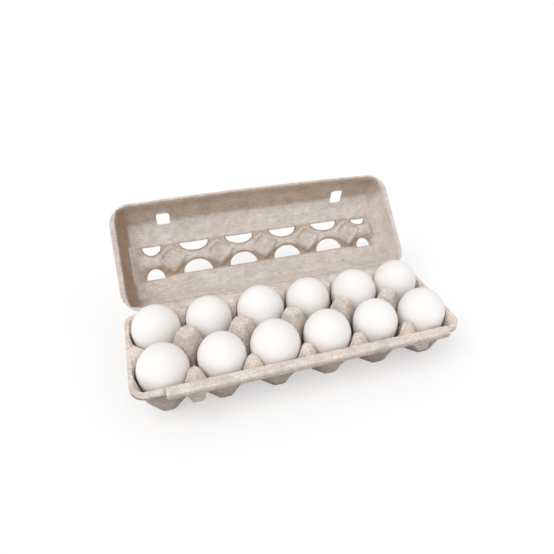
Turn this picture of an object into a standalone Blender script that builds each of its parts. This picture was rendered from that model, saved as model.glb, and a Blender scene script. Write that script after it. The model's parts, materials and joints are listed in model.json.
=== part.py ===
"""Egg carton of moulded pulp with twelve eggs, its lid open and its locking flap folded down.

Lengths are millimetres times MM. The tray stands on Z = 0 with the hinge side at +Y. Three
empties place and turn the sub-parts: the whole carton, the lid hinge and the flap hinge.
"""
import math

import bmesh
import bpy

MM = 0.001

# ---- cells and pulp ----------------------------------------------------------------------
PITCH = 48.0
HALF_PITCH = PITCH / 2
COLUMNS = 6
SIDE_OFFSETS = (-24.0, -17.5, -7.0, 7.0, 17.5)
PULP = 1.9

# ---- tray --------------------------------------------------------------------------------
TRAY_HALF_LENGTH = 147.3
TRAY_HALF_DEPTH = 52.4
RIM_Z = 40.0
RIM_RADIUS = 14.0
RING_RADII = (8.0, 15.0, 20.9, 23.5)
POST_MID = 0.52
POST_ROUND = 0.65
LEAST_FACING = 0.36
BUMP_Y = 38.5
WALL_KEYS = ((0.0, 2.2), (8.0, 2.2), (15.0, 9.8), (20.9, 19.6), (23.5, 36.0), (24.0, 40.0),
             (25.0, 46.0), (26.2, 50.0), (27.3, 52.2), (30.0, 53.0))
POST_KEYS = ((0.0, 53.0), (7.0, 52.4), (12.5, 40.0), (17.0, 30.0), (24.0, 23.0))
BUMP_KEYS = ((0.0, 44.6), (4.0, 43.6), (8.5, 34.5), (16.0, 23.0))
RIM_KEYS = ((0.0, 40.0), (3.9, 40.0), (6.2, 36.0), (9.0, 29.0), (13.0, 23.0))

# ---- lid, in its own frame: u from the hinge towards the front edge, w towards the top -----
LID_REACH = 106.0
LID_BOW = 2.4
LID_RADIUS = 20.0
LID_OPEN_ANGLE = 135.0
HINGE_Y = 52.7
HINGE_Z = 40.2
HINGE_GAP = 0.3
PAN_EDGE = 0.15
PAN_FLOOR = 25.0
FRONT_WALL = ((0.0, PAN_EDGE), (2.2, PAN_EDGE), (4.8, 12.0), (16.5, PAN_FLOOR))
END_WALL = ((0.0, PAN_EDGE), (4.7, PAN_EDGE), (8.0, 11.0), (16.5, PAN_FLOOR))
REAR_WALL = ((0.0, PAN_EDGE), (3.6, PAN_EDGE), (7.0, 11.0), (17.0, PAN_FLOOR))
RIDGE_U = 53.0
RIDGE_SHIFT = 2.5
RIDGE_HALF = 15.0
POST_RISE = ((0.0, 7.2), (8.5, 7.2), (RIDGE_HALF, 0.0))
NECK_RISE = ((0.0, 4.6), (4.6, 4.6), (RIDGE_HALF, 0.0))
POST_SPREAD = 0.85
POST_LINES = (-10.5, -4.5, 4.5, 10.5)
RIDGE_LINES = (-RIDGE_HALF, -9.0, -4.6, 4.6, 9.0, RIDGE_HALF)
WINDOW_HALF = 14.6
WINDOW_SPANS = ((-1, 5.5, 17.2), (1, 4.2, 14.6))
END_WINDOWS = ((-112.5, 9.0, ((-1, 9.3, 19.6), (1, 4.2, 14.6))),
               (115.5, 8.0, ((-1, 10.3, 19.8), (1, 5.4, 12.4))))
WINDOW_STEPS = 6
HOLE_X = 96.0
HOLE_HALF = 7.0
HOLE_U = (89.8, 99.0)
CUT_W = (8.0, 34.0)

# ---- locking flap ------------------------------------------------------------------------
FLAP_ENDS = (-120.3, 131.0)
FLAP_AXIS = (-49.6, 40.3)
FLAP_SPAN = (0.9, 9.4)
FLAP_THICK = 1.3
FLAP_DROOP = 27.0
NOTCH_DEPTH = 3.4
TAB_XS = (-97.0, 101.0)
TAB_HALVES = (7.6, 4.4)
TAB_END = 15.0
GAP = 0.3

# ---- eggs: sideways and depth offset, radius, top height, length, two tilts in degrees -----
EGG_STEPS = 12
EGG_RINGS = 8
EGG_BLUNT = 1.06
MERGE_GAP = 0.1
EGGS_FRONT = ((0.2, 0.0, 21.6, 58.4, 54.4, 1.0, 0.0), (1.4, 0.3, 20.8, 58.2, 54.2, 2.0, 1.0),
              (0.4, 0.0, 22.0, 60.4, 56.4, 0.0, -1.0), (1.0, 0.4, 21.3, 59.8, 55.6, 1.0, 1.0),
              (0.1, 0.3, 20.3, 61.4, 56.2, 2.0, 0.0), (-0.4, 0.2, 21.4, 63.4, 57.6, 0.0, 1.0))
EGGS_REAR = ((-0.2, 0.3, 21.5, 62.4, 56.6, -1.0, 0.0), (-0.7, 0.4, 20.9, 62.0, 56.2, 1.0, 1.0),
             (0.2, 0.0, 22.0, 63.6, 58.2, -2.0, 0.0), (-0.4, 0.3, 20.9, 63.0, 57.2, 0.0, -1.0),
             (0.1, 0.0, 22.0, 63.2, 57.8, -1.0, 1.0), (-2.0, 1.0, 20.8, 64.9, 57.0, -2.0, -1.0))

# ---- finishes: tray, lid and flap, then the eggs -------------------------------------------
PULP_COLORS = ((0.56, 0.49, 0.43), (0.52, 0.46, 0.41), (0.60, 0.52, 0.46))
PULP_ROUGHNESS = 0.95
SHELL_COLOR = (0.88, 0.86, 0.84)
SHELL_ROUGHNESS = 0.6

# ---- the whole in its frame ----------------------------------------------------------------
CARTON_SHIFT = (0.0, -36.711, -0.091)


def lookup(keys, value):
    """Straight-line interpolation through (position, height) keys, flat beyond both ends."""
    if value <= keys[0][0]:
        return keys[0][1]
    for (x0, y0), (x1, y1) in zip(keys, keys[1:]):
        if value <= x1:
            return y0 + (y1 - y0) * (value - x0) / (x1 - x0)
    return keys[-1][1]


def corner_round(x, y, half_x, half_y, radius):
    """Carry a point of a square corner into the rounded corner of a plate, centred on 0, 0."""
    a = (abs(x) - (half_x - radius)) / radius
    b = (abs(y) - (half_y - radius)) / radius
    if a <= 0.0 or b <= 0.0:
        return x, y
    new_x = half_x - radius + radius * a * math.sqrt(1.0 - b * b / 2)
    new_y = half_y - radius + radius * b * math.sqrt(1.0 - a * a / 2)
    return math.copysign(new_x, x), math.copysign(new_y, y)


def rim_inset(x, y):
    """Distance inwards from the rounded outline of the tray."""
    a = abs(x) - (TRAY_HALF_LENGTH - RIM_RADIUS)
    b = abs(y) - (TRAY_HALF_DEPTH - RIM_RADIUS)
    return RIM_RADIUS - math.hypot(max(a, 0.0), max(b, 0.0)) - min(max(a, b), 0.0)


def nearest_cell(x, y):
    """Middle of the cell that holds a point."""
    column = min(max(math.floor(x / PITCH + COLUMNS / 2), 0), COLUMNS - 1)
    return (column - COLUMNS / 2 + 0.5) * PITCH, math.copysign(HALF_PITCH, y)


def nearest_post(x):
    """Position along the tray of the nearest of the inner crossings of four cells."""
    limit = COLUMNS / 2 - 1
    return min(max(round(x / PITCH), -limit), limit) * PITCH


def tray_height(x, y):
    """Upper surface of the tray: round pockets, tall centre posts, edge bumps and the rim."""
    cell_x, cell_y = nearest_cell(x, y)
    wall = lookup(WALL_KEYS, math.hypot(x - cell_x, y - cell_y))
    along = abs(x - nearest_post(x))
    away = POST_ROUND * math.hypot(along, y) + (1.0 - POST_ROUND) * (along + abs(y))
    post = lookup(POST_KEYS, away)
    bump = lookup(BUMP_KEYS, along + abs(abs(y) - BUMP_Y))
    rim = lookup(RIM_KEYS, rim_inset(x, y))
    return min(wall, max(post, bump, rim))


def new_mesh_object(name, vertices, faces, collection):
    """Object with one mesh made from points in millimetres and faces."""
    mesh = bpy.data.meshes.new(name)
    mesh.from_pydata([tuple(c * MM for c in point) for point in vertices], [], faces)
    mesh.update()
    item = bpy.data.objects.new(name, mesh)
    collection.objects.link(item)
    return item


def add_shell(item, thickness):
    """Give an open surface its thickness, away from the side its faces look to."""
    shell = item.modifiers.new("pulp", "SOLIDIFY")
    shell.thickness = thickness * MM
    shell.offset = -1.0


def thicken_downwards(item):
    """Close the tray below: a copy of its surface, lowered until the wall is as thick as the
    pulp even where it is steep, joined to the first round the edge. The narrow crests between
    the pockets stay sound this way, which they do not when both flanks move sideways.
    """
    build = bmesh.new()
    build.from_mesh(item.data)
    bmesh.ops.triangulate(build, faces=build.faces[:])
    build.normal_update()
    upper = list(build.verts)
    drops = [PULP * MM / max(vertex.normal.z, LEAST_FACING) for vertex in upper]
    lower = [build.verts.new((v.co.x, v.co.y, v.co.z - drop)) for v, drop in zip(upper, drops)]
    build.verts.index_update()
    rims = [edge for edge in build.edges if edge.is_boundary]
    for face in list(build.faces):
        build.faces.new([lower[vertex.index] for vertex in reversed(face.verts)])
    for edge in rims:
        a, b = (vertex.index for vertex in edge.verts)
        build.faces.new((upper[a], upper[b], lower[b], lower[a]))
    bmesh.ops.recalc_face_normals(build, faces=build.faces)
    build.to_mesh(item.data)
    build.free()


def add_cut(item, cutter):
    """Take a cutter's volume out of an object."""
    cut = item.modifiers.new("cut", "BOOLEAN")
    cut.operation = "DIFFERENCE"
    cut.solver = "EXACT"
    cut.object = cutter
    cutter.hide_render = True
    cutter.display_type = "WIRE"


def square_points():
    """Offsets round the edge of a square cell, anticlockwise from its lower right corner."""
    right = [(HALF_PITCH, t) for t in SIDE_OFFSETS]
    return right + [(-y, x) for x, y in right] + [(-x, -y) for x, y in right] \
        + [(y, -x) for x, y in right]


class Surface:
    """Points merged by place, with the faces that join them."""

    def __init__(self):
        self.points = []
        self.faces = []
        self.index = {}

    def point(self, x, y):
        """Index of the tray point above a place on the table."""
        key = (round(x * 100), round(y * 100))
        if key not in self.index:
            place = corner_round(x, y, TRAY_HALF_LENGTH, TRAY_HALF_DEPTH, RIM_RADIUS)
            self.index[key] = len(self.points)
            self.points.append((*place, tray_height(*place)))
        return self.index[key]


def add_cell(surface, cell_x, cell_y):
    """One pocket: a flat bottom, rings of faces up its wall, then out to the square edge."""
    edge = square_points()
    turns = [2 * math.pi * i / len(edge) - math.pi / 4 for i in range(len(edge))]
    rings = [[(radius * math.cos(turn), radius * math.sin(turn)) for turn in turns]
             for radius in RING_RADII]
    rings.append([(a + (c - a) * POST_MID, b + (d - b) * POST_MID)
                  for (a, b), (c, d) in zip(rings[-1], edge)])
    rings.append(edge)
    loops = [[surface.point(cell_x + x, cell_y + y) for x, y in ring] for ring in rings]
    surface.faces.append(loops[0])
    for inner, outer_loop in zip(loops, loops[1:]):
        for i in range(len(inner)):
            j = (i + 1) % len(inner)
            surface.faces.append((inner[i], outer_loop[i], outer_loop[j], inner[j]))


def add_rim(surface):
    """Strip between the outer edges of the cells and the outline of the tray."""
    half_x = COLUMNS / 2 * PITCH
    xs = [(column + 0.5) * PITCH - half_x + t for column in range(COLUMNS)
          for t in SIDE_OFFSETS] + [half_x]
    ys = [row * HALF_PITCH + t for row in (-1, 1) for t in SIDE_OFFSETS] + [PITCH]
    path = [(x, -PITCH) for x in xs[:-1]] + [(half_x, y) for y in ys[:-1]] \
        + [(x, PITCH) for x in xs[:0:-1]] + [(-half_x, y) for y in ys[:0:-1]]
    inner = [surface.point(x, y) for x, y in path]
    outer = [surface.point(x * TRAY_HALF_LENGTH / half_x, y * TRAY_HALF_DEPTH / PITCH)
             for x, y in path]
    for i in range(len(path)):
        j = (i + 1) % len(path)
        surface.faces.append((inner[i], outer[i], outer[j], inner[j]))


def make_block(name, low, high, collection):
    """Box between two corners."""
    mesh = bpy.data.meshes.new(name)
    build = bmesh.new()
    bmesh.ops.create_cube(build, size=1.0)
    for vertex in build.verts:
        for axis in range(3):
            middle = (low[axis] + high[axis]) / 2
            vertex.co[axis] = (middle + vertex.co[axis] * (high[axis] - low[axis])) * MM
    build.to_mesh(mesh)
    build.free()
    item = bpy.data.objects.new(name, mesh)
    collection.objects.link(item)
    return item


def make_tray(parts, cutters, root):
    """The tray, with its front rim cut back where the flap is hinged."""
    surface = Surface()
    for row in (-1, 1):
        for column in range(COLUMNS):
            add_cell(surface, (column - COLUMNS / 2 + 0.5) * PITCH, row * HALF_PITCH)
    add_rim(surface)
    tray = new_mesh_object("tray", surface.points, surface.faces, parts)
    thicken_downwards(tray)
    notch = make_block("flap_notch", (FLAP_ENDS[0] - GAP, -TRAY_HALF_DEPTH - PULP, RIM_Z - NOTCH_DEPTH),
                       (FLAP_ENDS[1] + GAP, FLAP_AXIS[0] + GAP, RIM_Z + PULP), cutters)
    add_cut(tray, notch)
    tray.parent = root
    notch.parent = root
    return tray


def lid_height(x, u):
    """Inner surface of the lid above its edge plane: walls, top panel and the raised ridge."""
    across = abs(u - RIDGE_U)
    along = abs(x - RIDGE_SHIFT - nearest_post(x - RIDGE_SHIFT))
    post = lookup(POST_RISE, along * POST_SPREAD + across)
    neck = lookup(NECK_RISE, across)
    panel = PAN_FLOOR - max(post, neck)
    front = lookup(FRONT_WALL, LID_REACH - u)
    ends = lookup(END_WALL, TRAY_HALF_LENGTH - abs(x))
    rear = lookup(REAR_WALL, u - HINGE_GAP)
    return min(panel, front, ends, rear)


def lid_lines():
    """Positions of the mesh lines along the lid and across it."""
    half = TRAY_HALF_LENGTH
    along = [half - key[0] for key in END_WALL]
    xs = [-x for x in along] + along
    for i in range(1 - COLUMNS // 2, COLUMNS // 2):
        xs += [i * PITCH + RIDGE_SHIFT + t for t in POST_LINES]
    xs += [(i + 0.5) * PITCH + RIDGE_SHIFT for i in range(1 - COLUMNS // 2, COLUMNS // 2 - 1)]
    xs += [window[0] for window in END_WINDOWS]
    us = [HINGE_GAP + key[0] for key in REAR_WALL] + [LID_REACH - key[0] for key in FRONT_WALL]
    us += [RIDGE_U + t for t in RIDGE_LINES]
    return sorted(xs), sorted(us)


def lid_place(x, u):
    """Rounded and bowed place of a lid mesh crossing, in hinge coordinates."""
    half_u = (LID_REACH - HINGE_GAP) / 2
    middle = HINGE_GAP + half_u
    place_x, place_u = corner_round(x, u - middle, TRAY_HALF_LENGTH, half_u, LID_RADIUS)
    bow = LID_BOW * (1.0 - (place_x / TRAY_HALF_LENGTH) ** 2)
    spread = max(0.0, (u - RIDGE_U - RIDGE_HALF) / (LID_REACH - RIDGE_U - RIDGE_HALF))
    return place_x, place_u + middle + bow * spread


def window_outline(centre_x, half_width, side, near, far):
    """Half-moon with its straight edge at the foot of the ridge and its bow to the crest."""
    points = []
    for i in range(WINDOW_STEPS + 1):
        turn = math.pi * i / WINDOW_STEPS
        across = far - (far - near) * math.sin(turn)
        points.append((centre_x - half_width * math.cos(turn), -(RIDGE_U + side * across)))
    return points


def make_prism(name, outlines, collection):
    """Closed prisms along the depth of the lid, one for each outline."""
    build = bmesh.new()
    for outline in outlines:
        loop = [build.verts.new((x * MM, y * MM, CUT_W[0] * MM)) for x, y in outline]
        base = build.faces.new(loop)
        raised = bmesh.ops.extrude_face_region(build, geom=[base])["geom"]
        for item in raised:
            if isinstance(item, bmesh.types.BMVert):
                item.co.z = CUT_W[1] * MM
    bmesh.ops.recalc_face_normals(build, faces=build.faces)
    mesh = bpy.data.meshes.new(name)
    build.to_mesh(mesh)
    build.free()
    item = bpy.data.objects.new(name, mesh)
    collection.objects.link(item)
    return item


def make_lid(parts, cutters, hinge):
    """The lid: a shallow pan with a ridge inside, twelve windows and two latch holes."""
    xs, us = lid_lines()
    points = []
    for x in xs:
        for u in us:
            place_x, place_u = lid_place(x, u)
            points.append((place_x, -place_u, lid_height(x, u)))
    rows = len(us)
    faces = []
    for i in range(len(xs) - 1):
        for j in range(rows - 1):
            a = i * rows + j
            faces.append((a, a + rows, a + rows + 1, a + 1))
    lid = new_mesh_object("lid", points, faces, parts)
    add_shell(lid, PULP)
    windows = [((column - COLUMNS / 2 + 0.5) * PITCH + RIDGE_SHIFT, WINDOW_HALF, WINDOW_SPANS)
               for column in range(1, COLUMNS - 1)]
    outlines = [window_outline(centre, half, *span) for centre, half, spans in
                (*windows, *END_WINDOWS) for span in spans]
    for side in (-1, 1):
        low, high = side * HOLE_X - HOLE_HALF, side * HOLE_X + HOLE_HALF
        outlines.append([(low, -HOLE_U[0]), (high, -HOLE_U[0]), (high, -HOLE_U[1]),
                         (low, -HOLE_U[1])])
    cutter = make_prism("lid_windows", outlines, cutters)
    add_cut(lid, cutter)
    lid.parent = hinge
    cutter.parent = hinge
    return lid


def make_flap(parts, hinge):
    """The locking flap: a flat strip with two tapered tabs, in the plane of its own hinge."""
    start, end = FLAP_SPAN
    outline = [(FLAP_ENDS[0], start), (FLAP_ENDS[0], end)]
    for tab in TAB_XS:
        outline += [(tab - TAB_HALVES[0], end), (tab - TAB_HALVES[1], TAB_END),
                    (tab + TAB_HALVES[1], TAB_END), (tab + TAB_HALVES[0], end)]
    outline += [(FLAP_ENDS[1], end), (FLAP_ENDS[1], start)]
    curve = bpy.data.curves.new("flap", "CURVE")
    curve.dimensions = "2D"
    curve.fill_mode = "BOTH"
    curve.extrude = FLAP_THICK / 2 * MM
    spline = curve.splines.new("POLY")
    spline.points.add(len(outline) - 1)
    for point, (x, reach) in zip(spline.points, outline):
        point.co = (x * MM, -reach * MM, 0.0, 1.0)
    spline.use_cyclic_u = True
    flap = bpy.data.objects.new("flap", curve)
    flap.location = (0.0, 0.0, -FLAP_THICK / 2 * MM)
    parts.objects.link(flap)
    flap.parent = hinge
    return flap


def egg_profile(radius, length):
    """Half outline of an egg from its blunt top to its narrower end, about its widest level."""
    blunt = radius * EGG_BLUNT
    taper = length - blunt
    points = [(0.0, 0.0, blunt)]
    for i in range(1, EGG_RINGS):
        turn = math.pi * i / EGG_RINGS
        reach = blunt if i * 2 < EGG_RINGS else taper
        points.append((radius * math.sin(turn), 0.0, reach * math.cos(turn)))
    points.append((0.0, 0.0, -taper))
    return points


def make_egg(name, cell_x, cell_y, shape, parts, root):
    """One egg standing in its cell, leaning by its own small angles."""
    side, depth, radius, top, length, lean_x, lean_y = shape
    profile = egg_profile(radius, length)
    edges = [(i, i + 1) for i in range(len(profile) - 1)]
    mesh = bpy.data.meshes.new(name)
    mesh.from_pydata([tuple(c * MM for c in point) for point in profile], edges, [])
    egg = bpy.data.objects.new(name, mesh)
    turned = egg.modifiers.new("turned", "SCREW")
    turned.axis = "Z"
    turned.steps = EGG_STEPS
    turned.render_steps = EGG_STEPS
    turned.use_merge_vertices = True
    turned.merge_threshold = MERGE_GAP * MM
    turned.use_smooth_shade = False
    level = top - profile[0][2]
    egg.location = ((cell_x + side) * MM, (cell_y + depth) * MM, level * MM)
    egg.rotation_euler = (math.radians(lean_x), math.radians(lean_y), 0.0)
    parts.objects.link(egg)
    egg.parent = root
    return egg


def make_material(name, color, roughness):
    """Plain matt material."""
    material = bpy.data.materials.new(name)
    material.use_nodes = True
    shader = material.node_tree.nodes["Principled BSDF"]
    shader.inputs["Base Color"].default_value = (*color, 1.0)
    shader.inputs["Roughness"].default_value = roughness
    return material


def make_empty(name, location, turn_x, parent, collection):
    """Empty that carries sub-parts."""
    empty = bpy.data.objects.new(name, None)
    empty.location = tuple(c * MM for c in location)
    empty.rotation_euler = (math.radians(turn_x), 0.0, 0.0)
    empty.parent = parent
    collection.objects.link(empty)
    return empty


def main():
    """Build the carton."""
    for item in list(bpy.data.objects):
        bpy.data.objects.remove(item, do_unlink=True)
    parts = bpy.data.collections.new("egg_carton")
    cutters = bpy.data.collections.new("egg_carton_cutters")
    bpy.context.scene.collection.children.link(parts)
    bpy.context.scene.collection.children.link(cutters)
    root = make_empty("carton_origin", CARTON_SHIFT, 0.0, None, parts)
    lid_hinge = make_empty("lid_hinge", (0.0, HINGE_Y, HINGE_Z), -LID_OPEN_ANGLE, root, parts)
    flap_hinge = make_empty("flap_hinge", (0.0, *FLAP_AXIS), FLAP_DROOP, root, parts)
    items = [make_tray(parts, cutters, root), make_lid(parts, cutters, lid_hinge),
             make_flap(parts, flap_hinge)]
    for item, color in zip(items, PULP_COLORS):
        item.data.materials.append(make_material(item.name + "_pulp", color, PULP_ROUGHNESS))
    for row, (word, shapes) in enumerate((("front", EGGS_FRONT), ("rear", EGGS_REAR))):
        for column, shape in enumerate(shapes):
            name = "egg_{}_{}".format(word, column + 1)
            egg = make_egg(name, (column - COLUMNS / 2 + 0.5) * PITCH,
                           (row - 0.5) * PITCH, shape, parts, root)
            egg.data.materials.append(make_material(name + "_shell", SHELL_COLOR, SHELL_ROUGHNESS))


main()
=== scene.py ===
import json
import math

import bmesh
import bpy
import numpy as np
from mathutils import Matrix, Vector


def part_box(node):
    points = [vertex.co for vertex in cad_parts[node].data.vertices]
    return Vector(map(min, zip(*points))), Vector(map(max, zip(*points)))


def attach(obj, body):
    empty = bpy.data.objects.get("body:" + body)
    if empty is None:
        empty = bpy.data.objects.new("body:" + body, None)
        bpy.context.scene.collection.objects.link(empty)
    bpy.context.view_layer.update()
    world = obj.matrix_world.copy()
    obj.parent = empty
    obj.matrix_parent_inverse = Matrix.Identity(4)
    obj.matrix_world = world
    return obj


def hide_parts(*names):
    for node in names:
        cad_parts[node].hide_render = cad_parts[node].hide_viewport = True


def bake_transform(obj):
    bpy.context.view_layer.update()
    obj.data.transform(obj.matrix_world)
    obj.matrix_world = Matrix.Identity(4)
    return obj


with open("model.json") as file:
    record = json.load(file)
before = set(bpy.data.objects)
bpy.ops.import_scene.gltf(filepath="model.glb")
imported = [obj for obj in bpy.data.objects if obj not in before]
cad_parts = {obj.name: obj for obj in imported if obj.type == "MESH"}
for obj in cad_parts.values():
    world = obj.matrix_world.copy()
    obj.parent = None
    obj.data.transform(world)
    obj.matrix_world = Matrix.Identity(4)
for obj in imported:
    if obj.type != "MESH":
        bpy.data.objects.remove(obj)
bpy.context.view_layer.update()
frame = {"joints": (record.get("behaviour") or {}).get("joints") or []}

MM = 0.001

# ---- camera: fitted to the viewing angle on the carton ---------------------------------------
CAMERA_TURN = -17.93
CAMERA_HEIGHT = 34.22
CAMERA_ROLL = 0.53
CAMERA_TARGET = (13.18, 70.38, 40.0)
CAMERA_DISTANCE = 496.66
FOCAL_SHARE = 0.861
LENS_SHIFT = (-0.0106, -0.0009)
SENSOR = 36.0
CLIP_START = 0.01

# ---- surroundings: lamps as direction, spread in degrees and power ---------------------------
KEY_LAMP = ((-0.5, -0.3, 0.82), 50.0, 1.45)
FILL_LAMP = ((0.8, -0.5, 0.5), 60.0, 0.3)
WORLD_LIGHT = 0.62
FLOOR_REACH = 30.0
FLOOR_GLOW = 0.5
WHITE = (1.0, 1.0, 1.0, 1.0)

# ---- uneven surfaces: waves in several directions; lumps as amount, size and seed ------------
LUMP_WAVES = 7
LUMP_TURN = 2.4
LUMP_SPREAD = (0.7, 0.13)
LUMP_PHASE = 3.7
LUMP_TOTAL = 3.2
TRAY_LUMPS = (0.22, 9.0, 0.7)
TRAY_LUMP_FOOT = 8.0
POST_LUMPS = (0.35, 4.2, 1.1)
POST_ROUGH = (41.0, 43.0)
LID_LUMPS = (0.3, 8.0, 1.9)
LID_FINE_LUMPS = (0.2, 3.6, 0.9)
LID_LUMP_FOOT = 4.0
FLAP_LUMPS = (0.12, 11.0, 1.3)
FLAP_WAVES = (0.45, 34.0, 0.4)

# ---- cells and pulp: sizes in mm, keys as (distance, height) ---------------------------------
PITCH = 48.0
HALF_PITCH = PITCH / 2
COLUMNS = 6
PULP = 1.9
DIRECTIONS = 128
POCKET_RINGS = (0.0, 4.0, 8.0, 9.5, 11.0, 12.5, 14.0, 15.5, 17.0, 18.5, 19.8, 20.9, 21.8, 22.6,
                23.5)
OUTER_RINGS = 15
WIDE_BLEND = 1.0
CLOSE_BLEND = 0.8
TRAY_MERGE = 0.02

# ---- tray ------------------------------------------------------------------------------------
HALF_LENGTH = 147.3
HALF_DEPTH = 52.4
RIM_RADIUS = 14.0
RIM_ROWS = 7
LEAST_FACING = 0.36
BUMP_Y = 38.5
WALL_KEYS = ((0.0, 2.2), (8.0, 2.2), (14.3, 9.8), (20.4, 19.6), (23.5, 36.0), (24.0, 40.0),
             (24.8, 46.0), (25.8, 51.0), (27.0, 54.0), (30.0, 56.0))
TIP_KEYS = ((0.0, 2.2), (14.5, 2.2), (18.0, 5.5), (23.0, 13.5), (26.5, 24.5), (28.5, 40.0),
            (34.0, 70.0))
TIP_BLUNT = 1.3
POST_KEYS = ((0.0, 52.4), (8.0, 52.6), (8.8, 51.4), (11.2, 45.0), (14.8, 36.0), (18.5, 29.0),
             (26.0, 23.0))
POST_ROUND = 0.4
BUMP_KEYS = ((0.0, 44.4), (3.9, 43.8), (6.6, 40.4), (9.4, 35.4), (12.4, 30.8), (17.0, 25.0))
BUMP_ALONG = 0.62
BUMP_ACROSS = 1.15
REAR_BUMP_Y = 43.0
REAR_BUMP_KEYS = ((0.0, 44.6), (5.5, 43.6), (9.5, 37.0), (16.0, 26.0), (20.0, 23.0))
END_BUMP_X = 141.0
END_BUMP_KEYS = ((0.0, 40.6), (9.0, 39.6), (13.5, 33.0), (20.0, 23.0))
RIM_KEYS = ((0.0, 40.0), (3.6, 40.0), (6.4, 35.8), (9.0, 29.0), (13.0, 23.0))
CREASE_TURN = 0.5
CREASE_OFFSET = 2.6
CREASE_DEPTH = 0.9
CREASE_WIDTH = 1.8
LIP_DROP = 5.2
NOTCH_ENDS = (-120.6, 131.3)
NOTCH_Y = 49.45
NOTCH_MARGIN = 1.0

# ---- lid -------------------------------------------------------------------------------------
LID_REACH = 106.0
LID_BOW = 2.4
LID_RADIUS = 20.0
LID_ANGLE = 135.0
HINGE_Y = 52.7
HINGE_Z = 40.2
HINGE_GAP = 0.3
LID_ROOM = 0.8
PAN_EDGE = 0.15
PAN_FLOOR = 25.0
FRONT_WALL = ((0.0, PAN_EDGE), (2.2, PAN_EDGE), (4.8, 12.0), (16.5, PAN_FLOOR), (22.0, 29.0))
END_WALL = ((0.0, PAN_EDGE), (4.7, PAN_EDGE), (8.0, 11.0), (16.5, PAN_FLOOR), (22.0, 29.0))
REAR_WALL = ((0.0, PAN_EDGE), (3.6, PAN_EDGE), (7.0, 11.0), (17.0, PAN_FLOOR), (22.0, 29.0))
RIDGE_U = 53.0
RIDGE_SHIFT = 2.5
RIDGE_HALF = 15.0
POST_RISE = ((0.0, 3.6), (7.6, 3.9), (9.2, 7.0), (10.2, 7.2), (11.2, 6.2), (13.3, 2.2),
             (RIDGE_HALF, 0.0))
NECK_RISE = ((0.0, 4.7), (3.4, 4.6), (5.4, 3.4), (9.0, 1.2), (RIDGE_HALF, 0.0))
POST_SPREAD = 0.8
RIDGE_ROUND = 0.4
DISH_REACH = 9.7
RIDGE_END = 134.0
RIDGE_RUNOUT = 8.0
WALL_BLEND = 3.0
PANEL_BLEND = 1.5
DENTS = ((132.0, 57.0), (132.6, 50.0), (132.0, 43.0))
DENT_AREA = 2.2
NICK = (-145.0, 80.0)
NICK_AREA = 1.6
NICK_DEPTH = 1.2
WINDOW_HALF = 14.6
WINDOW_SPANS = ((-1, 5.5, 17.2), (1, 4.2, 14.6))
END_WINDOWS = ((-112.5, 9.0, ((-1, 9.3, 19.6), (1, 4.2, 14.6))),
               (115.5, 8.0, ((-1, 10.3, 19.8), (1, 5.4, 12.4))))
RIDGE_FLARE = (1.16, 0.16)
FLARE_ENDS = (88.0, 116.0)
WINDOW_STEPS = 28
WINDOW_CURL = 2.6
CURL_RISE = 0.8
HOLE_X = 96.0
HOLE_HALF = 6.6
HOLE_U = (89.8, 99.0)
HOLE_SLANT = 1.3
HOLE_STEPS = 32
HOLE_ROUND = 0.35
CUT_W = (8.0, 34.0)
LID_STEP = 0.9
LID_SHARP = 50.0

# ---- locking flap ----------------------------------------------------------------------------
FLAP_ENDS = (-120.3, 131.0)
FLAP_AXIS = (-49.6, 40.3)
FLAP_START = 0.9
FLAP_END = 9.4
FLAP_THICK = 1.3
FLAP_DROOP = 27.0
TAB_XS = (-97.0, 101.0)
TAB_HALVES = (7.6, 4.4)
TAB_END = 15.0
FLAP_STEP = 1.0
FLAP_ROWS = 12
FLAP_CORNER = (1.2, 1.5)
SHEET_MERGE = 0.001
SHEET_SHARP = 60.0
FLAP_ARCH = ((0.0, 0.0), (2.2, 0.9), (4.4, 1.7), (5.4, 1.6), (8.8, -1.2), (15.0, -2.6))
FOLD_THICK = 0.9
LID_FOLD = ((51.2, 39.95), (52.3, 40.02), (53.0, 40.3), (53.9, 41.15))
FLAP_FOLD = ((-48.7, 39.95), (-49.5, 40.02), (-50.1, 40.08), (-51.0, 39.85))
FOLD_HALF = 128.0
FOLD_STEPS = 60

# ---- eggs ------------------------------------------------------------------------------------
EGG_TURNS = 72
EGG_RINGS = 44
EGG_BLUNT = 1.06
EGG_MERGE = 0.005

# ---- painted shade, where the pulp is darker: pairs are where a shade begins and where it is full ---
CELL_SHADE = (37.0, 25.0)
FLANK_SHADE = 0.22
FLANK_TOP = (51.2, 50.0)
FLANK_DEPTH = PITCH / 3
FLANK_LENGTH = (COLUMNS - 1) * HALF_PITCH
OUTSIDE_TOP = 34.0
WALL_SHADE = 0.68
WALL_FOOT = (1.0, 3.0)
WALL_HEAD = (PAN_FLOOR - 1.0, PAN_FLOOR - 4.0)
LEFT_WALL = (-128.0, -136.0)
PALE_SHARE = 0.95
PALE_RIGHT = (120.0, 132.0)
PALE_RIGHT_U = (90.0, 82.0)
PALE_REAR = (-134.0, -118.0)
PALE_REAR_U = (30.0, 22.0)
RIDGE_SHADES = (0.85, 0.5)
RIDGE_FOOT = (RIDGE_HALF + 1.5, RIDGE_HALF - 0.5)
RIDGE_FADE = (RIDGE_END, RIDGE_END - 14.0)
CREST_LIGHT = (PAN_FLOOR - 2.8, PAN_FLOOR - 4.0)
CREST_PALE = 0.94
EDGE_SHADE = 1.6
FLAP_SHADED = (38.2, 35.6)
FLAP_SHADE = 0.85
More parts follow.
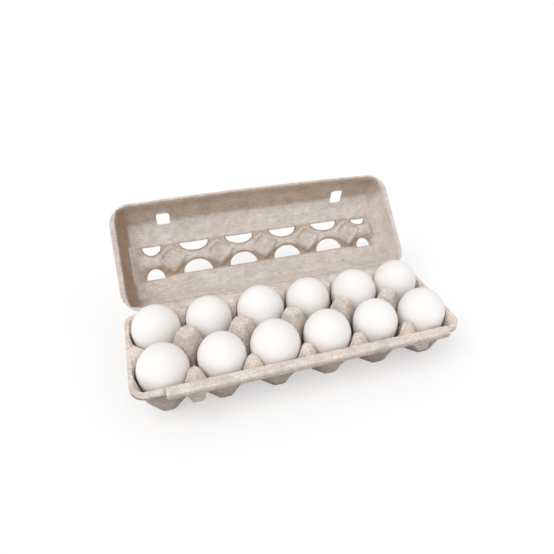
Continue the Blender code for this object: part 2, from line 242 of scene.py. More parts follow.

# ---- materials -------------------------------------------------------------------------------
# Paints: light colour, dark colour, tint of the painted shade, strength of the flecks.
TRAY_PAINT = ((0.90, 0.79, 0.71), (0.72, 0.62, 0.545), (0.50, 0.48, 0.455), 0.12)
LID_PAINT = ((0.76, 0.68, 0.62), (0.63, 0.555, 0.495), (0.60, 0.49, 0.385), 0.08)
FIBRE_COLOR = (0.20, 0.15, 0.11)
SHELL_COLORS = ((0.89, 0.865, 0.845), (0.92, 0.90, 0.885))
# Noise: scale, detail, roughness and, where it is drawn out, its stretch.
MOTTLE = (70.0, 5.0, 0.62)
STREAK = (160.0, 4.0, 0.65, (1.0, 4.0, 4.0))
FLECK = (700.0, 3.0, 0.7)
FIBRE = (500.0, 2.0, 0.5, (1.0, 3.5, 3.5))
COARSE = (300.0, 5.0, 0.7)
FINE = (1300.0, 3.0, 0.6)
TONE = (45.0, 3.0, 0.5)
PORES = (1500.0, 2.0, 0.5)
# Levels: the span of the noise, then the span it is carried to.
MOTTLE_LEVELS = (0.36, 0.64, 0.0, 1.0)
STREAK_LEVELS = (0.36, 0.64, 0.92, 1.11)
FLECK_SPAN = (0.40, 0.62)
FIBRE_LEVELS = (0.66, 0.74, 0.0, 0.35)
TONE_LEVELS = (0.35, 0.65, 0.0, 1.0)
# Relief: strength and height in metres.
COARSE_RELIEF = (0.9, 0.0022)
FINE_RELIEF = (0.5, 0.0003)
PORE_RELIEF = (0.12, 0.0002)
# Finish: roughness and gloss.
PULP_FINISH = (0.95, 0.2)
SHELL_FINISH = (0.55, 0.3)


# ---- where the carton stands -----------------------------------------------------------------
lid_joint = next(joint for joint in frame["joints"] if joint["name"] == "lid_hinge")
ORIGIN = np.array(lid_joint["pos_m"]) / MM - np.array((0.0, HINGE_Y, HINGE_Z))


def lookup(keys, value):
    """Straight-line interpolation through (position, height) keys, flat beyond both ends."""
    places, heights = zip(*keys)
    return np.interp(value, places, heights)


def ramp(value, zero_at, one_at):
    """0 at one value and 1 at another, straight between them and flat beyond."""
    return np.clip((value - zero_at) / (one_at - zero_at), 0.0, 1.0)


def soft_min(a, b, reach):
    """Smaller of two heights, rounded where they meet."""
    share = np.clip(0.5 + 0.5 * (b - a) / reach, 0.0, 1.0)
    return b + (a - b) * share - reach * share * (1.0 - share)


def soft_max(a, b, reach):
    """Larger of two heights, rounded where they meet."""
    return -soft_min(-a, -b, reach)


def lumps(x, y, size, seed):
    """Uneven field between about -1 and 1, from waves in several directions."""
    total = np.zeros_like(x, dtype=float)
    for i in range(LUMP_WAVES):
        turn = seed + LUMP_TURN * i
        wave = 2 * math.pi / (size * (LUMP_SPREAD[0] + LUMP_SPREAD[1] * i))
        total += np.sin(wave * (x * math.cos(turn) + y * math.sin(turn)) + LUMP_PHASE * i * seed)
    return total / LUMP_TOTAL


def lumpy(x, y, amount, size, seed):
    """Uneven depth between 0 and about twice the amount."""
    return amount * (1.0 + lumps(x, y, size, seed))


def corner_round(x, y, half_x, half_y, radius):
    """Carry points of a square corner into the rounded corner of a plate, centred on 0, 0."""
    a = np.clip((np.abs(x) - (half_x - radius)) / radius, 0.0, 1.0)
    b = np.clip((np.abs(y) - (half_y - radius)) / radius, 0.0, 1.0)
    corner = (a > 0.0) & (b > 0.0)
    new_x = half_x - radius + radius * a * np.sqrt(1.0 - b * b / 2)
    new_y = half_y - radius + radius * b * np.sqrt(1.0 - a * a / 2)
    return (np.where(corner, np.copysign(new_x, x), x), np.where(corner, np.copysign(new_y, y), y))


def rim_inset(x, y):
    """Distance inwards from the rounded outline of the tray."""
    a = np.abs(x) - (HALF_LENGTH - RIM_RADIUS)
    b = np.abs(y) - (HALF_DEPTH - RIM_RADIUS)
    corner = np.hypot(np.maximum(a, 0.0), np.maximum(b, 0.0))
    return RIM_RADIUS - corner - np.minimum(np.maximum(a, b), 0.0)


def nearest_post(x):
    """Position along the carton of the nearest of the inner crossings of four cells."""
    limit = COLUMNS / 2 - 1
    return np.clip(np.round(x / PITCH), -limit, limit) * PITCH


def post_creases(x, y):
    """Depth of the creases that cross the tops of the centre posts and the front bumps."""
    along = x - nearest_post(x)
    fold = np.abs(along * math.cos(CREASE_TURN) + y * math.sin(CREASE_TURN) - CREASE_OFFSET)
    return CREASE_DEPTH * ramp(fold, CREASE_WIDTH, 0.0)


def tray_height(x, y):
    """Upper surface of the tray: pockets with pointed bottoms, posts, edge bumps and the rim."""
    column = np.clip(np.floor(x / PITCH + COLUMNS / 2), 0, COLUMNS - 1)
    off_x = x - (column - COLUMNS / 2 + 0.5) * PITCH
    off_y = y - np.copysign(HALF_PITCH, y)
    wall = lookup(WALL_KEYS, np.hypot(off_x, off_y))
    blunt = TIP_BLUNT * np.maximum(np.abs(off_x), np.abs(off_y))
    tips = lookup(TIP_KEYS, np.maximum(np.abs(off_x) + np.abs(off_y), blunt))
    along = np.abs(x - nearest_post(x))
    away = POST_ROUND * np.hypot(along, y) + (1.0 - POST_ROUND) * (along + np.abs(y))
    post = lookup(POST_KEYS, away)
    front = lookup(BUMP_KEYS, BUMP_ALONG * along + BUMP_ACROSS * np.abs(y + BUMP_Y))
    rear = lookup(REAR_BUMP_KEYS, np.hypot(along, y - REAR_BUMP_Y))
    ends = lookup(END_BUMP_KEYS, np.abs(np.abs(x) - END_BUMP_X) + np.abs(y))
    bump = np.maximum(np.maximum(front, rear), ends)
    rim = lookup(RIM_KEYS, rim_inset(x, y))
    crest = soft_max(soft_max(post, bump, WIDE_BLEND), rim, CLOSE_BLEND)
    return soft_min(soft_min(wall, tips, WIDE_BLEND), crest, CLOSE_BLEND)


def make_object(name, points, faces):
    """Object with one mesh made from carton coordinates in millimetres."""
    mesh = bpy.data.meshes.new(name)
    mesh.from_pydata(((np.asarray(points) + ORIGIN) * MM).tolist(), [], faces)
    mesh.update()
    mesh.shade_smooth()
    item = bpy.data.objects.new(name, mesh)
    bpy.context.scene.collection.objects.link(item)
    return item


def set_shade(item, values):
    """Store the painted shade of the pulp at each point, for its material."""
    layer = item.data.attributes.new("shade", "FLOAT", "POINT")
    layer.data.foreach_set("value", np.asarray(values, dtype=np.float32))


def tidy_mesh(item, gap):
    """Merge doubled points and make all faces look outwards."""
    build = bmesh.new()
    build.from_mesh(item.data)
    bmesh.ops.remove_doubles(build, verts=build.verts, dist=gap * MM)
    bmesh.ops.recalc_face_normals(build, faces=build.faces)
    build.to_mesh(item.data)
    build.free()


def grid_faces(rows, columns, closed=False):
    """Faces of a grid whose points run along its columns, row by row."""
    faces = []
    for i in range(rows - 1):
        for j in range(columns if closed else columns - 1):
            k = (j + 1) % columns
            faces.append((i * columns + j, i * columns + k, (i + 1) * columns + k,
                          (i + 1) * columns + j))
    return faces


def cell_grid():
    """Offsets of the points of one cell: rings round its bottom and wall, then out to a square."""
    turns = 2 * math.pi * (np.arange(DIRECTIONS) / DIRECTIONS) - math.pi / 4
    per_side = DIRECTIONS // 4
    step = np.linspace(-HALF_PITCH, HALF_PITCH, per_side, endpoint=False)
    side = np.full(per_side, HALF_PITCH)
    edge_x = np.concatenate((side, -step, -side, step))
    edge_y = np.concatenate((step, side, -step, -side))
    xs = [radius * np.cos(turns) for radius in POCKET_RINGS]
    ys = [radius * np.sin(turns) for radius in POCKET_RINGS]
    for i in range(1, OUTER_RINGS + 1):
        share = i / OUTER_RINGS
        xs.append(xs[len(POCKET_RINGS) - 1] * (1.0 - share) + edge_x * share)
        ys.append(ys[len(POCKET_RINGS) - 1] * (1.0 - share) + edge_y * share)
    return np.array(xs), np.array(ys)


def rim_grid():
    """Rows of points from the outer edges of the cells out to the square outline."""
    half_x = COLUMNS * HALF_PITCH
    per_side = DIRECTIONS // 4
    long_side = np.linspace(-half_x, half_x, per_side * COLUMNS, endpoint=False)
    short_side = np.linspace(-PITCH, PITCH, per_side * 2, endpoint=False)
    edge_x = np.concatenate((long_side, np.full(len(short_side), half_x), -long_side,
                             np.full(len(short_side), -half_x)))
    edge_y = np.concatenate((np.full(len(long_side), -PITCH), short_side,
                             np.full(len(long_side), PITCH), -short_side))
    shares = np.linspace(0.0, 1.0, RIM_ROWS)[:, None]
    xs = edge_x * (1.0 + shares * (HALF_LENGTH / half_x - 1.0))
    ys = edge_y * (1.0 + shares * (HALF_DEPTH / PITCH - 1.0))
    return xs, ys


def tray_points(xs, ys):
    """Rounded places and heights of tray points, with the front rim cut back for the flap."""
    place_x, place_y = corner_round(xs, ys, HALF_LENGTH, HALF_DEPTH, RIM_RADIUS)
    heights = tray_height(place_x, place_y)
    dip = lumpy(place_x, place_y, *TRAY_LUMPS) * ramp(heights, 0.0, TRAY_LUMP_FOOT)
    rough = lumpy(place_x, place_y, *POST_LUMPS) + post_creases(place_x, place_y)
    dip += rough * ramp(heights, *POST_ROUGH)
    room = HINGE_Z + lid_height(place_x, HINGE_Y - place_y) - LID_ROOM
    heights = np.where(heights > HINGE_Z, np.maximum(np.minimum(heights, room), HINGE_Z), heights)
    inside = (place_x > NOTCH_ENDS[0]) & (place_x < NOTCH_ENDS[1]) & (place_y < -PITCH)
    share = (NOTCH_Y - PITCH) / (HALF_DEPTH - PITCH)
    place_y = np.where(inside, -PITCH + (place_y + PITCH) * share, place_y)
    return np.stack((place_x, place_y, heights - dip), axis=-1).reshape(-1, 3)


def thicken_downwards(item):
    """Close a surface below by a lowered copy, joined to it round the edge."""
    build = bmesh.new()
    build.from_mesh(item.data)
    build.normal_update()
    upper = list(build.verts)
    drops = [PULP * MM / max(abs(vertex.normal.z), LEAST_FACING) for vertex in upper]
    for i, vertex in enumerate(upper):
        at_flap = vertex.co.y / MM - ORIGIN[1] < NOTCH_MARGIN - NOTCH_Y \
            and NOTCH_ENDS[0] < vertex.co.x / MM - ORIGIN[0] < NOTCH_ENDS[1]
        if vertex.is_boundary and not at_flap:
            drops[i] = LIP_DROP * MM
    lower = [build.verts.new((v.co.x, v.co.y, v.co.z - drop)) for v, drop in zip(upper, drops)]
    build.verts.index_update()
    rims = [edge for edge in build.edges if edge.is_boundary]
    for face in list(build.faces):
        build.faces.new([lower[vertex.index] for vertex in reversed(face.verts)])
    for edge in rims:
        a, b = (vertex.index for vertex in edge.verts)
        build.faces.new((upper[a], upper[b], lower[b], lower[a]))
    bmesh.ops.recalc_face_normals(build, faces=build.faces)
    for vertex in build.verts:
        vertex.co.z = max(vertex.co.z, 0.0)
    build.to_mesh(item.data)
    build.free()
    item.data.shade_smooth()


def make_tray():
    """Tray of moulded pulp in one sheet, with painted shade making it darker in its cells and on
    its outside.
    """
    cell_x, cell_y = cell_grid()
    blocks = [(cell_x + (column - COLUMNS / 2 + 0.5) * PITCH, cell_y + row * HALF_PITCH, 1)
              for row in (-1, 1) for column in range(COLUMNS)]
    blocks.append((*rim_grid(), -1))
    points = []
    faces = []
    for xs, ys, order in blocks:
        start = len(points)
        points += list(tray_points(xs, ys))
        faces += [tuple(start + i for i in face[::order])
                  for face in grid_faces(*xs.shape, closed=True)]
    tray = make_object("pulp_tray", points, faces)
    tidy_mesh(tray, TRAY_MERGE)
    upper_count = len(tray.data.vertices)
    thicken_downwards(tray)
    xs, ys, heights = (np.array([vertex.co for vertex in tray.data.vertices]) / MM - ORIGIN).T
    # painted shade: darker low in the cells, a little on the flanks of the centre posts, and full
    # on the outside below the cells
    inner = (np.abs(ys) < FLANK_DEPTH) & (np.abs(xs) < FLANK_LENGTH)
    shade = np.maximum(ramp(heights, *CELL_SHADE), FLANK_SHADE * ramp(heights, *FLANK_TOP) * inner)
    outside = (np.arange(len(heights)) >= upper_count) & (heights < OUTSIDE_TOP)
    set_shade(tray, np.where(outside, 1.0, shade))
    return tray


def lid_height(x, u):
    """Inner surface of the lid above its edge plane: walls, top panel and the dished ridge."""
    across = ridge_across(x, u)
    from_middle = x - RIDGE_SHIFT
    along = np.abs(from_middle - nearest_post(from_middle)) * POST_SPREAD
    away = RIDGE_ROUND * np.hypot(along, across) + (1.0 - RIDGE_ROUND) * (along + across)
    post = lookup(POST_RISE, away)
    neck = lookup(NECK_RISE, across)
    rise = np.where(away < DISH_REACH, post, soft_max(post, neck, WIDE_BLEND))
    panel = PAN_FLOOR - rise * ramp(np.abs(x), RIDGE_END, RIDGE_END - RIDGE_RUNOUT)
    walls = lookup(FRONT_WALL, LID_REACH - u)
    walls = soft_min(walls, lookup(END_WALL, HALF_LENGTH - np.abs(x)), WALL_BLEND)
    walls = soft_min(walls, lookup(REAR_WALL, u - HINGE_GAP), WALL_BLEND)
    return np.maximum(soft_min(panel, walls, PANEL_BLEND), PAN_EDGE)


def lid_pits(x, u):
    """Small dents at the right end of the ridge and a nick in the left edge."""
    depth = sum(np.exp(-((x - a) ** 2 + (u - b) ** 2) / DENT_AREA) for a, b in DENTS)
    nick = np.exp(-((x - NICK[0]) ** 2 + (u - NICK[1]) ** 2) / NICK_AREA)
    return depth + NICK_DEPTH * nick


def lid_shade(x, u, height, edge):
    """How much painted shade darkens and browns the pulp: on the walls, round the ridge and its
    windows.
    """
    # painted shade on the walls, strongest at the left end
    wall = ramp(height, *WALL_FOOT) * ramp(height, *WALL_HEAD)
    wall = wall * (WALL_SHADE + (1.0 - WALL_SHADE) * ramp(x, *LEFT_WALL))
    # the painted wall shade is mostly taken off the right end and the rear wall, except the rear
    # left corner
    pale = np.maximum(ramp(x, *PALE_RIGHT) * ramp(u, *PALE_RIGHT_U),
                      ramp(u, *PALE_REAR_U) * ramp(x, *PALE_REAR))
    # painted shade round the foot of the ridge and along the window edges, stronger on the hinge
    # side and pale on the crests
    ridge = ramp(ridge_across(x, u), *RIDGE_FOOT) * ramp(np.abs(x), *RIDGE_FADE)
    painted_ridge_shade = np.where(u < RIDGE_U, *RIDGE_SHADES) * (1.0 - CREST_PALE * ramp(height, *CREST_LIGHT))
    ridge = ridge * np.maximum(painted_ridge_shade, EDGE_SHADE * edge)
    return np.where(ridge > 0.0, ridge, wall * (1.0 - PALE_SHARE * pale))


def lid_place(x, u):
    """Rounded and bowed place of lid points, in hinge coordinates."""
    half_u = (LID_REACH - HINGE_GAP) / 2
    middle = HINGE_GAP + half_u
    place_x, place_u = corner_round(x, u - middle, HALF_LENGTH, half_u, LID_RADIUS)
    bow = LID_BOW * (1.0 - (place_x / HALF_LENGTH) ** 2)
    spread = ramp(u, RIDGE_U + RIDGE_HALF, LID_REACH)
    return place_x, place_u + middle + bow * spread


def from_lid(x, u, w):
    """Carton coordinates of points in the lid's own frame, lid open."""
    turn = math.radians(LID_ANGLE)
    y = HINGE_Y - u * math.cos(turn) + w * math.sin(turn)
    z = HINGE_Z + u * math.sin(turn) + w * math.cos(turn)
    return np.stack((x, y, z), axis=-1)


def window_outline(centre_x, half_width, side, near, far):
    """Half-moon with its straight edge at the foot of the ridge and its bow to the crest."""
    turns = np.linspace(0.0, math.pi, WINDOW_STEPS + 1)
    across = far - (far - near) * np.sin(turns)
    return centre_x - half_width * np.cos(turns), RIDGE_U + side * across


def windows():
    """Middle, half width, side of the crest, and reach from it, of each window."""
    inner = [((column - COLUMNS / 2 + 0.5) * PITCH + RIDGE_SHIFT, WINDOW_HALF, WINDOW_SPANS)
             for column in range(1, COLUMNS - 1)]
    return [(centre, half, *span) for centre, half, spans in (*inner, *END_WINDOWS)
            for span in spans]


def ridge_across(x, u):
    """Distance from the crest of the ridge, eased where the ridge is wider on the hinge side."""
    share = ramp(np.abs(x), *FLARE_ENDS)
    flare = RIDGE_FLARE[0] + RIDGE_FLARE[1] * share * share * (3.0 - 2.0 * share)
    across = np.abs(u - RIDGE_U)
    return np.where(u < RIDGE_U, across / flare, across)


def window_edge(x, u):
    """How close a point lies to the edge of a window: 1 at the edge, 0 beyond its curl."""
    best = np.zeros_like(x)
    for window in windows():
        for a, b in zip(*window_outline(*window)):
            best = np.maximum(best, ramp(np.hypot(x - a, u - b), WINDOW_CURL, 0.0))
    return best


def hole_outline(side):
    """Latch hole with rounded corners; the right one is slanted."""
    turns = np.linspace(0.0, 2 * math.pi, HOLE_STEPS + 1)[:-1]
    bulge_x = np.sign(np.cos(turns)) * np.abs(np.cos(turns)) ** HOLE_ROUND
    bulge_u = np.sign(np.sin(turns)) * np.abs(np.sin(turns)) ** HOLE_ROUND
    slant = HOLE_SLANT * (side > 0)
    middle = sum(HOLE_U) / 2
    reach = (HOLE_U[1] - middle) * bulge_u - slant * np.maximum(-bulge_u, 0.0)
    return side * HOLE_X + HOLE_HALF * bulge_x + slant * bulge_u, middle + reach


def make_cutter(outlines):
    """Prisms along the depth of the lid, one for each outline."""
    build = bmesh.new()
    for outline_x, outline_u in outlines:
        loop = []
        for w in CUT_W:
            ring = (from_lid(outline_x, outline_u, np.full(len(outline_x), w)) + ORIGIN) * MM
            loop.append([build.verts.new(point) for point in ring.tolist()])
        build.faces.new(loop[0])
        build.faces.new(loop[1][::-1])
        for i in range(len(outline_x)):
            j = (i + 1) % len(outline_x)
            build.faces.new((loop[0][j], loop[0][i], loop[1][i], loop[1][j]))
    bmesh.ops.recalc_face_normals(build, faces=build.faces)
    mesh = bpy.data.meshes.new("lid_cuts")
    build.to_mesh(mesh)
    build.free()
    cutter = bpy.data.objects.new("lid_cuts", mesh)
    bpy.context.scene.collection.objects.link(cutter)
    return cutter


def make_lid():
    """Lid of moulded pulp: a shallow pan with a dished ridge, windows and latch holes."""
    xs = np.linspace(-HALF_LENGTH, HALF_LENGTH, int(2 * HALF_LENGTH / LID_STEP))
    us = np.linspace(HINGE_GAP, LID_REACH, int((LID_REACH - HINGE_GAP) / LID_STEP))
    x, u = np.meshgrid(xs, us, indexing="ij")
    height = lid_height(x, u)
    swell = lumpy(x, u, *LID_LUMPS) + lumpy(x, u, *LID_FINE_LUMPS)
    swell = swell * ramp(height, 0.0, LID_LUMP_FOOT)
    edge = window_edge(x, u)
    inside = height + swell + lid_pits(x, u) - CURL_RISE * edge
    points = from_lid(*lid_place(x, u), inside).reshape(-1, 3)
    lid = make_object("pulp_lid", points, grid_faces(*x.shape))
    set_shade(lid, lid_shade(x, u, height, edge).ravel())
    shell = lid.modifiers.new("pulp", "SOLIDIFY")
    shell.thickness = PULP * MM
    shell.offset = 1.0
    shell.use_even_offset = False
    cutter = make_cutter([window_outline(*window) for window in windows()]
                         + [hole_outline(side) for side in (-1, 1)])
    cut = lid.modifiers.new("cut", "BOOLEAN")
    cut.operation = "DIFFERENCE"
    cut.solver = "EXACT"
    cut.object = cutter
    bpy.context.view_layer.update()
    evaluated = lid.evaluated_get(bpy.context.evaluated_depsgraph_get())
    shaped = bpy.data.meshes.new_from_object(evaluated)
    lid.modifiers.clear()
    lid.data = shaped
    bpy.data.objects.remove(cutter, do_unlink=True)
    lid.data.shade_smooth()
    lid.data.set_sharp_from_angle(angle=math.radians(LID_SHARP))
    return lid


def flap_reach(x):
    """Free edge of the flap: a wavy strip with two tapered tabs."""
    reach = FLAP_END - lumpy(x, np.zeros_like(x), *FLAP_WAVES)
    for tab in TAB_XS:
        off = np.abs(x - tab)
        share = ramp(off, *TAB_HALVES)
        reach = np.maximum(reach, FLAP_END + (TAB_END - FLAP_END) * share * (off < TAB_HALVES[0]))
    ends = np.minimum(x - FLAP_ENDS[0], FLAP_ENDS[1] - x)
    return reach - FLAP_CORNER[0] * ramp(ends, FLAP_CORNER[1], 0.0)


def from_flap(x, reach, rise):
    """Carton coordinates of points in the plane of the flap, folded down."""
    turn = math.radians(FLAP_DROOP)
    y = FLAP_AXIS[0] - reach * math.cos(turn) - rise * math.sin(turn)
    z = FLAP_AXIS[1] - reach * math.sin(turn) + rise * math.cos(turn)
    return np.stack((x, y, z), axis=-1)


def make_sheet(name, tops, bottoms):
    """Closed sheet from the grids of its upper and lower points."""
    rows, columns = tops.shape[:2]
    count = rows * columns
    faces = grid_faces(rows, columns)
    faces += [tuple(count + i for i in reversed(face)) for face in grid_faces(rows, columns)]
    ring = [*range(columns), *(i * columns + columns - 1 for i in range(1, rows)),
            *((rows - 1) * columns + j for j in range(columns - 2, -1, -1)),
            *(i * columns for i in range(rows - 2, 0, -1))]
    for a, b in zip(ring, ring[1:] + ring[:1]):
        faces.append((b, a, count + a, count + b))
    points = np.concatenate((tops.reshape(-1, 3), bottoms.reshape(-1, 3)))
    item = make_object(name, points, faces)
    tidy_mesh(item, SHEET_MERGE)
    item.data.shade_smooth()
    item.data.set_sharp_from_angle(angle=math.radians(SHEET_SHARP))
    return item


def make_flap():
    """Locking flap, softly arched across its strip."""
    xs = np.linspace(*FLAP_ENDS, int((FLAP_ENDS[1] - FLAP_ENDS[0]) / FLAP_STEP))
    shares = np.linspace(0.0, 1.0, FLAP_ROWS)
    x, share = np.meshgrid(xs, shares, indexing="ij")
    reach = FLAP_START + (flap_reach(x) - FLAP_START) * share
    rise = lookup(FLAP_ARCH, reach) - lumpy(x, reach, *FLAP_LUMPS)
    flap = make_sheet("pulp_flap", from_flap(x, reach, rise),
                      from_flap(x, reach, rise - FLAP_THICK))
    # painted shade on the lower part of the flap and its tabs, which hang in shade
    heights = np.array([vertex.co.z for vertex in flap.data.vertices]) / MM - ORIGIN[2]
    set_shade(flap, ramp(heights, *FLAP_SHADED) * FLAP_SHADE)
    return flap


def make_fold(name, ends, section, side):
    """Strip of thinner pulp along a fold."""
    xs = np.linspace(*ends, FOLD_STEPS)
    places = np.array(section)
    along = np.gradient(places, axis=0)
    along /= np.linalg.norm(along, axis=1)[:, None]
    under = places - FOLD_THICK * side * np.stack((-along[:, 1], along[:, 0]), axis=-1)
    grids = [np.array([[(x, y, z) for y, z in row] for x in xs]) for row in (places, under)]
    fold = make_sheet(name, *grids)
    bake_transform(fold)
    return fold


def make_egg(node):
    """Egg with its blunt end up, inside the box of its solid."""
    low, high = (np.array(corner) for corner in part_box(node))
    radius = (high[0] - low[0]) / 2
    length = high[2] - low[2]
    blunt = radius * EGG_BLUNT
    turns = np.linspace(0.0, math.pi, EGG_RINGS + 1)
    heights = np.where(turns < math.pi / 2, blunt, length - blunt) * np.cos(turns)
    widths = radius * np.sin(turns)
    rounds = 2 * math.pi * np.arange(EGG_TURNS) / EGG_TURNS
    middle = (low + high) / 2
    x = middle[0] + widths[:, None] * np.cos(rounds)
    y = middle[1] + widths[:, None] * np.sin(rounds)
    z = high[2] - blunt + np.repeat(heights[:, None], EGG_TURNS, axis=1)
    points = np.stack((x, y, z), axis=-1).reshape(-1, 3) / MM - ORIGIN
    egg = make_object(node + "_shell", points, grid_faces(EGG_RINGS + 1, EGG_TURNS, True))
    tidy_mesh(egg, EGG_MERGE)
    return egg


class Nodes:
    """Short way to add and link the nodes of one material."""

    def __init__(self, name):
        self.material = bpy.data.materials.new(name)
        self.material.use_nodes = True
        self.tree = self.material.node_tree
        self.shader = self.tree.nodes["Principled BSDF"]

    def feed(self, node, inputs):
        """Link each input of a node to a socket, or set its value."""
        for key, value in inputs.items():
            if isinstance(value, bpy.types.NodeSocket):
                self.tree.links.new(value, node.inputs[key])
            else:
                node.inputs[key].default_value = value

    def add(self, kind, inputs=(), **settings):
        """New node with its settings and inputs."""
        node = self.tree.nodes.new(kind)
        for key, value in settings.items():
            setattr(node, key, value)
        self.feed(node, dict(inputs))
        return node

    def noise(self, scale, detail, rough, stretch=(1.0, 1.0, 1.0)):
        """Noise that is fixed to the object."""
        coord = self.add("ShaderNodeTexCoord")
        mapping = self.add("ShaderNodeMapping",
                           {"Vector": coord.outputs["Object"], "Scale": stretch})
        noise = self.add("ShaderNodeTexNoise", {"Vector": mapping.outputs[0], "Scale": scale,
                                                "Detail": detail, "Roughness": rough})
        return noise.outputs["Fac"]

    def level(self, value, low, high, out_low, out_high):
        """Value carried from one span to another."""
        node = self.add("ShaderNodeMapRange", {"Value": value, "From Min": low, "From Max": high,
                                               "To Min": out_low, "To Max": out_high})
        return node.outputs[0]

    def mix(self, factor, first, second, blend="MIX"):
        """Mix of two colours, which a Mix node has in sockets 6 and 7, its result in 2."""
        node = self.add("ShaderNodeMix", data_type="RGBA", blend_type=blend)
        self.feed(node, {0: factor, 6: first, 7: second})
        return node.outputs[2]

    def scaled(self, color, level):
        """Colour made lighter or darker by a grey level."""
        grey = self.add("ShaderNodeCombineColor", {"Red": level, "Green": level, "Blue": level})
        return self.mix(1.0, color, grey.outputs[0], "MULTIPLY")

    def relief(self, height, strength, distance, **under):
        """Surface that rises and falls with a value, on top of another relief if one is given."""
        return self.add("ShaderNodeBump", {"Height": height, "Strength": strength,
                                           "Distance": distance, **under}).outputs[0]

    def surface(self, color, rough, gloss, normal):
        """The material with its colour, roughness, gloss and relief."""
        self.feed(self.shader, {"Base Color": color, "Roughness": rough,
                                "Specular IOR Level": gloss, "Normal": normal})
        return self.material


def pulp_material(name, light, dark, tint, grain):
    """Recycled paper pulp: mottled, flecked with fibres and rough all over."""
    nodes = Nodes(name)
    mottle = nodes.level(nodes.noise(*MOTTLE), *MOTTLE_LEVELS)
    color = nodes.mix(mottle, (*dark, 1.0), (*light, 1.0))
    # painted shade: the colour is multiplied by the tint as far as the shade attribute says
    shade = nodes.add("ShaderNodeAttribute", attribute_name="shade").outputs["Fac"]
    color = nodes.mix(shade, color, nodes.mix(1.0, color, (*tint, 1.0), "MULTIPLY"))
    color = nodes.scaled(color, nodes.level(nodes.noise(*STREAK), *STREAK_LEVELS))
    fleck = nodes.level(nodes.noise(*FLECK), *FLECK_SPAN, 1.0 - grain, 1.0 + grain)
    color = nodes.scaled(color, fleck)
    fibre = nodes.level(nodes.noise(*FIBRE), *FIBRE_LEVELS)
    color = nodes.mix(fibre, color, (*FIBRE_COLOR, 1.0))
    coarse = nodes.relief(nodes.noise(*COARSE), *COARSE_RELIEF)
    fine = nodes.relief(nodes.noise(*FINE), *FINE_RELIEF, Normal=coarse)
    return nodes.surface(color, *PULP_FINISH, fine)


def shell_material():
    """White eggshell: faintly uneven in tone, with fine pores."""
    nodes = Nodes("eggshell")
    first, second = ((*color, 1.0) for color in SHELL_COLORS)
    color = nodes.mix(nodes.level(nodes.noise(*TONE), *TONE_LEVELS), first, second)
    return nodes.surface(color, *SHELL_FINISH, nodes.relief(nodes.noise(*PORES), *PORE_RELIEF))


def make_camera():
    """Camera at the viewing angle, with the lens that gives its perspective."""
    turn, height = math.radians(CAMERA_TURN), math.radians(CAMERA_HEIGHT)
    forward = Vector((-math.sin(turn) * math.cos(height), math.cos(turn) * math.cos(height),
                      -math.sin(height)))
    right = forward.cross(Vector((0.0, 0.0, 1.0))).normalized()
    up = right.cross(forward)
    roll = math.radians(CAMERA_ROLL)
    right, up = (right * math.cos(roll) + up * math.sin(roll),
                 up * math.cos(roll) - right * math.sin(roll))
    target = (Vector(CAMERA_TARGET) + Vector(ORIGIN)) * MM
    place = target - forward * CAMERA_DISTANCE * MM
    data = bpy.data.cameras.new("camera")
    data.sensor_width = SENSOR
    data.lens = FOCAL_SHARE * SENSOR
    data.shift_x, data.shift_y = LENS_SHIFT
    data.clip_start = CLIP_START
    camera = bpy.data.objects.new("camera", data)
    camera.matrix_world = Matrix((
        (right.x, up.x, -forward.x, place.x), (right.y, up.y, -forward.y, place.y),
        (right.z, up.z, -forward.z, place.z), (0.0, 0.0, 0.0, 1.0)))
    bpy.context.scene.collection.objects.link(camera)
    bpy.context.scene.camera = camera


def make_light(name, toward, spread, power):
    """Distant lamp with a soft edge, from the given direction."""
    data = bpy.data.lights.new(name, "SUN")
    data.angle = math.radians(spread)
    data.energy = power
    lamp = bpy.data.objects.new(name, data)
    lamp.rotation_euler = Vector(toward).to_track_quat("Z", "Y").to_euler()
    bpy.context.scene.collection.objects.link(lamp)


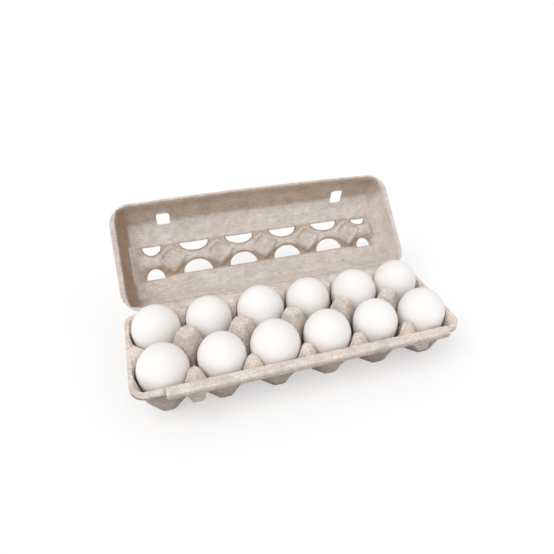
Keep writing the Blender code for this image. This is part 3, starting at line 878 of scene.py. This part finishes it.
def make_world():
    """White surroundings that light the scene less than they look."""
    world = bpy.data.worlds.new("studio")
    bpy.context.scene.world = world
    world.use_nodes = True
    tree = world.node_tree
    background = tree.nodes["Background"]
    background.inputs["Color"].default_value = WHITE
    path = tree.nodes.new("ShaderNodeLightPath")
    strength = tree.nodes.new("ShaderNodeMapRange")
    strength.inputs["To Min"].default_value = WORLD_LIGHT
    tree.links.new(path.outputs["Is Camera Ray"], strength.inputs["Value"])
    tree.links.new(strength.outputs[0], background.inputs["Strength"])


def make_floor():
    """Pale floor, which glows a little where the camera sees it."""
    mesh = bpy.data.meshes.new("floor")
    corners = [(x * FLOOR_REACH, y * FLOOR_REACH, 0.0)
               for x, y in ((-1, -1), (1, -1), (1, 1), (-1, 1))]
    mesh.from_pydata(corners, [], [(0, 1, 2, 3)])
    floor = bpy.data.objects.new("floor", mesh)
    bpy.context.scene.collection.objects.link(floor)
    paint = Nodes("floor")
    paint.feed(paint.shader, {"Base Color": WHITE, "Roughness": 1.0})
    seen = paint.add("ShaderNodeLightPath").outputs["Is Camera Ray"]
    share = paint.level(seen, 0.0, 1.0, 0.0, FLOOR_GLOW)
    glow = paint.add("ShaderNodeEmission", {"Color": WHITE, "Strength": 1.0})
    blend = paint.add("ShaderNodeMixShader", {0: share, 1: paint.shader.outputs[0],
                                              2: glow.outputs[0]})
    paint.feed(paint.tree.nodes["Material Output"], {"Surface": blend.outputs[0]})
    mesh.materials.append(paint.material)


make_camera()
make_world()
make_floor()
make_light("key", *KEY_LAMP)
make_light("fill", *FILL_LAMP)
bpy.context.scene.view_settings.view_transform = "Standard"

tray = make_tray()
lid = make_lid()
flap = make_flap()
folds = [make_fold("lid_fold", (-FOLD_HALF, FOLD_HALF), LID_FOLD, 1),
         make_fold("flap_fold", FLAP_ENDS, FLAP_FOLD, -1)]
tray_paint = pulp_material("tray_pulp", *TRAY_PAINT)
lid_paint = pulp_material("lid_pulp", *LID_PAINT)
shell = shell_material()
for item, node, body, paint in ((tray, "tray", "tray", tray_paint), (lid, "lid", "lid", lid_paint),
                                (flap, "flap", "flap", tray_paint)):
    item.data.materials.append(paint)
    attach(item, body)
    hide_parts(node)

for fold in folds:
    fold.data.materials.append(tray_paint)

for row in ("front", "rear"):
    for column in range(COLUMNS):
        node = "egg_{}_{}".format(row, column + 1)
        egg = make_egg(node)
        egg.data.materials.append(shell)
        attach(egg, "tray")
        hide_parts(node)
